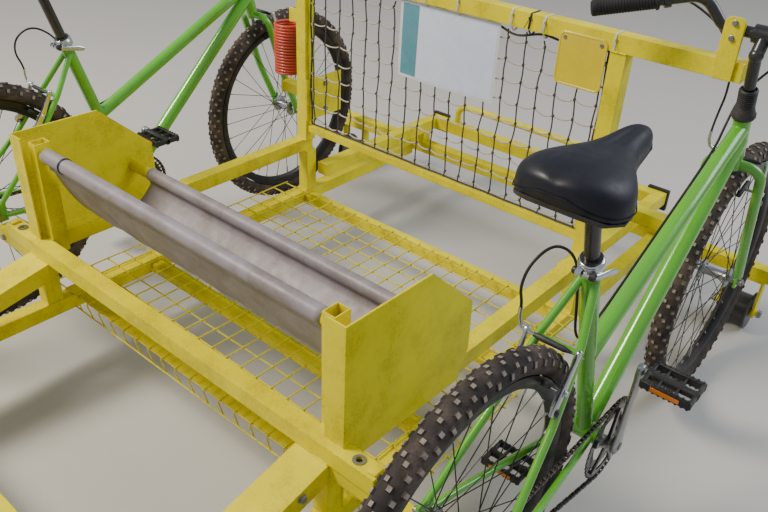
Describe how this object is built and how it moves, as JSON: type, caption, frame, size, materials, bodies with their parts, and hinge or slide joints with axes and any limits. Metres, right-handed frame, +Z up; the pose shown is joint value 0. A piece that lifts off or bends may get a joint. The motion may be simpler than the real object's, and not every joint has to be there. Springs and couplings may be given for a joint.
{
  "type": "pedal rail cycle",
  "caption": "Pedal rail cycle (draisine): bicycles side by side over the rails, joined by a welded yellow frame with a wire floor, a sling bench and a net barrier",
  "frame": {"origin": "bottom centre of the bounding box, on the guide rollers' lowest points", "axes": "X across the track to the rider's right, Y forward in the direction of travel, Z up"},
  "size_m": [2.1548, 2.013, 1.0245],
  "materials": {
    "yellow_paint": "gloss yellow enamel over welded steel, chalked by sun, chipped at corners",
    "green_paint": "gloss green lacquer on aluminium tube",
    "black_paint": "satin black lacquer",
    "alloy": "satin alloy",
    "alloy_black": "worn black cranks and rings",
    "chain_steel": "oily dark steel",
    "zinc_steel": "zinc-plated steel",
    "tyre_rubber": "black knobbly rubber with dust",
    "black_rubber": "black ribbed rubber",
    "black_plastic": "matt black moulded plastic",
    "roller_plastic": "black cast nylon polished by the rail",
    "black_vinyl": "black padded vinyl",
    "grey_tarpaulin": "coated grey truck tarpaulin",
    "rope": "knotted grey and black cord net",
    "plate_yellow": "yellow plate, blank",
    "white_paper": "laminated white sheet, blank",
    "red_plastic": "red plastic-coated spring wire"
  },
  "bodies": {
    "frame": {"rear_cross_bar": "yellow_paint", "side_beams": "yellow_paint", "floor_beams": "yellow_paint", "frame_uprights": "yellow_paint", "floor_cross_bars": "yellow_paint", "floor_cross_wires": "yellow_paint", "floor_long_wires": "yellow_paint", "bench_cheeks": "yellow_paint", "bench_cheek_tubes": "yellow_paint", "bench_bars": "grey_tarpaulin", "bench_sling": "grey_tarpaulin", "barrier_posts": "yellow_paint", "barrier_top_rail": "yellow_paint", "net_foot_bar": "yellow_paint", "barrier_net": "rope", "handlebar_tabs": "yellow_paint", "number_plate": "plate_yellow", "notice_sheet": "white_paper", "front_bumper": "yellow_paint", "bumper_arms": "yellow_paint", "bumper_caps": "black_plastic", "front_hoop": "yellow_paint", "front_beam": "yellow_paint", "fork_plates": "yellow_paint", "fork_arms": "yellow_paint", "rear_beam": "yellow_paint", "rear_channels": "yellow_paint", "rear_axle_arms": "yellow_paint", "roller_brackets": "yellow_paint", "red_coil": "red_plastic", "right_bike_frame": "green_paint", "left_bike_frame": "green_paint", "forks": "green_paint", "handlebars": "black_paint", "handlebar_grips": "black_rubber", "saddles": "black_vinyl", "seat_posts": "black_paint", "axles": "zinc_steel", "chains": "chain_steel"},
    "right_front_wheel": {"right_front_wheel": "alloy", "right_front_tyre": "tyre_rubber"},
    "right_rear_wheel": {"right_rear_wheel": "alloy", "right_rear_tyre": "tyre_rubber"},
    "right_front_roller": {"right_front_roller": "roller_plastic"},
    "right_rear_roller": {"right_rear_roller": "roller_plastic"},
    "right_crankset": {"right_crankset": "alloy_black"},
    "right_bike_right_pedal": {"right_bike_right_pedal": "black_plastic"},
    "right_bike_left_pedal": {"right_bike_left_pedal": "black_plastic"},
    "left_front_wheel": {"left_front_wheel": "alloy", "left_front_tyre": "tyre_rubber"},
    "left_rear_wheel": {"left_rear_wheel": "alloy", "left_rear_tyre": "tyre_rubber"},
    "left_front_roller": {"left_front_roller": "roller_plastic"},
    "left_rear_roller": {"left_rear_roller": "roller_plastic"},
    "left_crankset": {"left_crankset": "alloy_black"},
    "left_bike_right_pedal": {"left_bike_right_pedal": "black_plastic"},
    "left_bike_left_pedal": {"left_bike_left_pedal": "black_plastic"}
  },
  "joints": [
    {"name": "right_front_wheel_spin", "type": "hinge", "parent": "frame", "child": "right_front_wheel", "pos_m": [0.765, 0.5325, 0.345], "axis": [1, 0, 0], "continuous": true},
    {"name": "right_rear_wheel_spin", "type": "hinge", "parent": "frame", "child": "right_rear_wheel", "pos_m": [0.765, -0.5375, 0.345], "axis": [1, 0, 0], "continuous": true},
    {"name": "right_front_roller_spin", "type": "hinge", "parent": "frame", "child": "right_front_roller", "pos_m": [0.765, 0.9035, 0.058], "axis": [1, 0, 0], "continuous": true},
    {"name": "right_rear_roller_spin", "type": "hinge", "parent": "frame", "child": "right_rear_roller", "pos_m": [0.765, -0.9485, 0.058], "axis": [1, 0, 0], "continuous": true},
    {"name": "right_crankset_spin", "type": "hinge", "parent": "frame", "child": "right_crankset", "pos_m": [0.765, -0.10738, 0.28], "axis": [1, 0, 0], "continuous": true},
    {"name": "right_bike_right_pedal_spin", "type": "hinge", "parent": "right_crankset", "child": "right_bike_right_pedal", "pos_m": [0.765, -0.07786, 0.44742], "axis": [1, 0, 0], "continuous": true},
    {"name": "right_bike_left_pedal_spin", "type": "hinge", "parent": "right_crankset", "child": "right_bike_left_pedal", "pos_m": [0.765, -0.1369, 0.11258], "axis": [1, 0, 0], "continuous": true},
    {"name": "left_front_wheel_spin", "type": "hinge", "parent": "frame", "child": "left_front_wheel", "pos_m": [-0.765, 0.5325, 0.345], "axis": [1, 0, 0], "continuous": true},
    {"name": "left_rear_wheel_spin", "type": "hinge", "parent": "frame", "child": "left_rear_wheel", "pos_m": [-0.765, -0.5375, 0.345], "axis": [1, 0, 0], "continuous": true},
    {"name": "left_front_roller_spin", "type": "hinge", "parent": "frame", "child": "left_front_roller", "pos_m": [-0.765, 0.9035, 0.058], "axis": [1, 0, 0], "continuous": true},
    {"name": "left_rear_roller_spin", "type": "hinge", "parent": "frame", "child": "left_rear_roller", "pos_m": [-0.765, -0.9485, 0.058], "axis": [1, 0, 0], "continuous": true},
    {"name": "left_crankset_spin", "type": "hinge", "parent": "frame", "child": "left_crankset", "pos_m": [-0.765, -0.10738, 0.28], "axis": [1, 0, 0], "continuous": true},
    {"name": "left_bike_right_pedal_spin", "type": "hinge", "parent": "left_crankset", "child": "left_bike_right_pedal", "pos_m": [-0.765, -0.07786, 0.44742], "axis": [1, 0, 0], "continuous": true},
    {"name": "left_bike_left_pedal_spin", "type": "hinge", "parent": "left_crankset", "child": "left_bike_left_pedal", "pos_m": [-0.765, -0.1369, 0.11258], "axis": [1, 0, 0], "continuous": true}
  ]
}
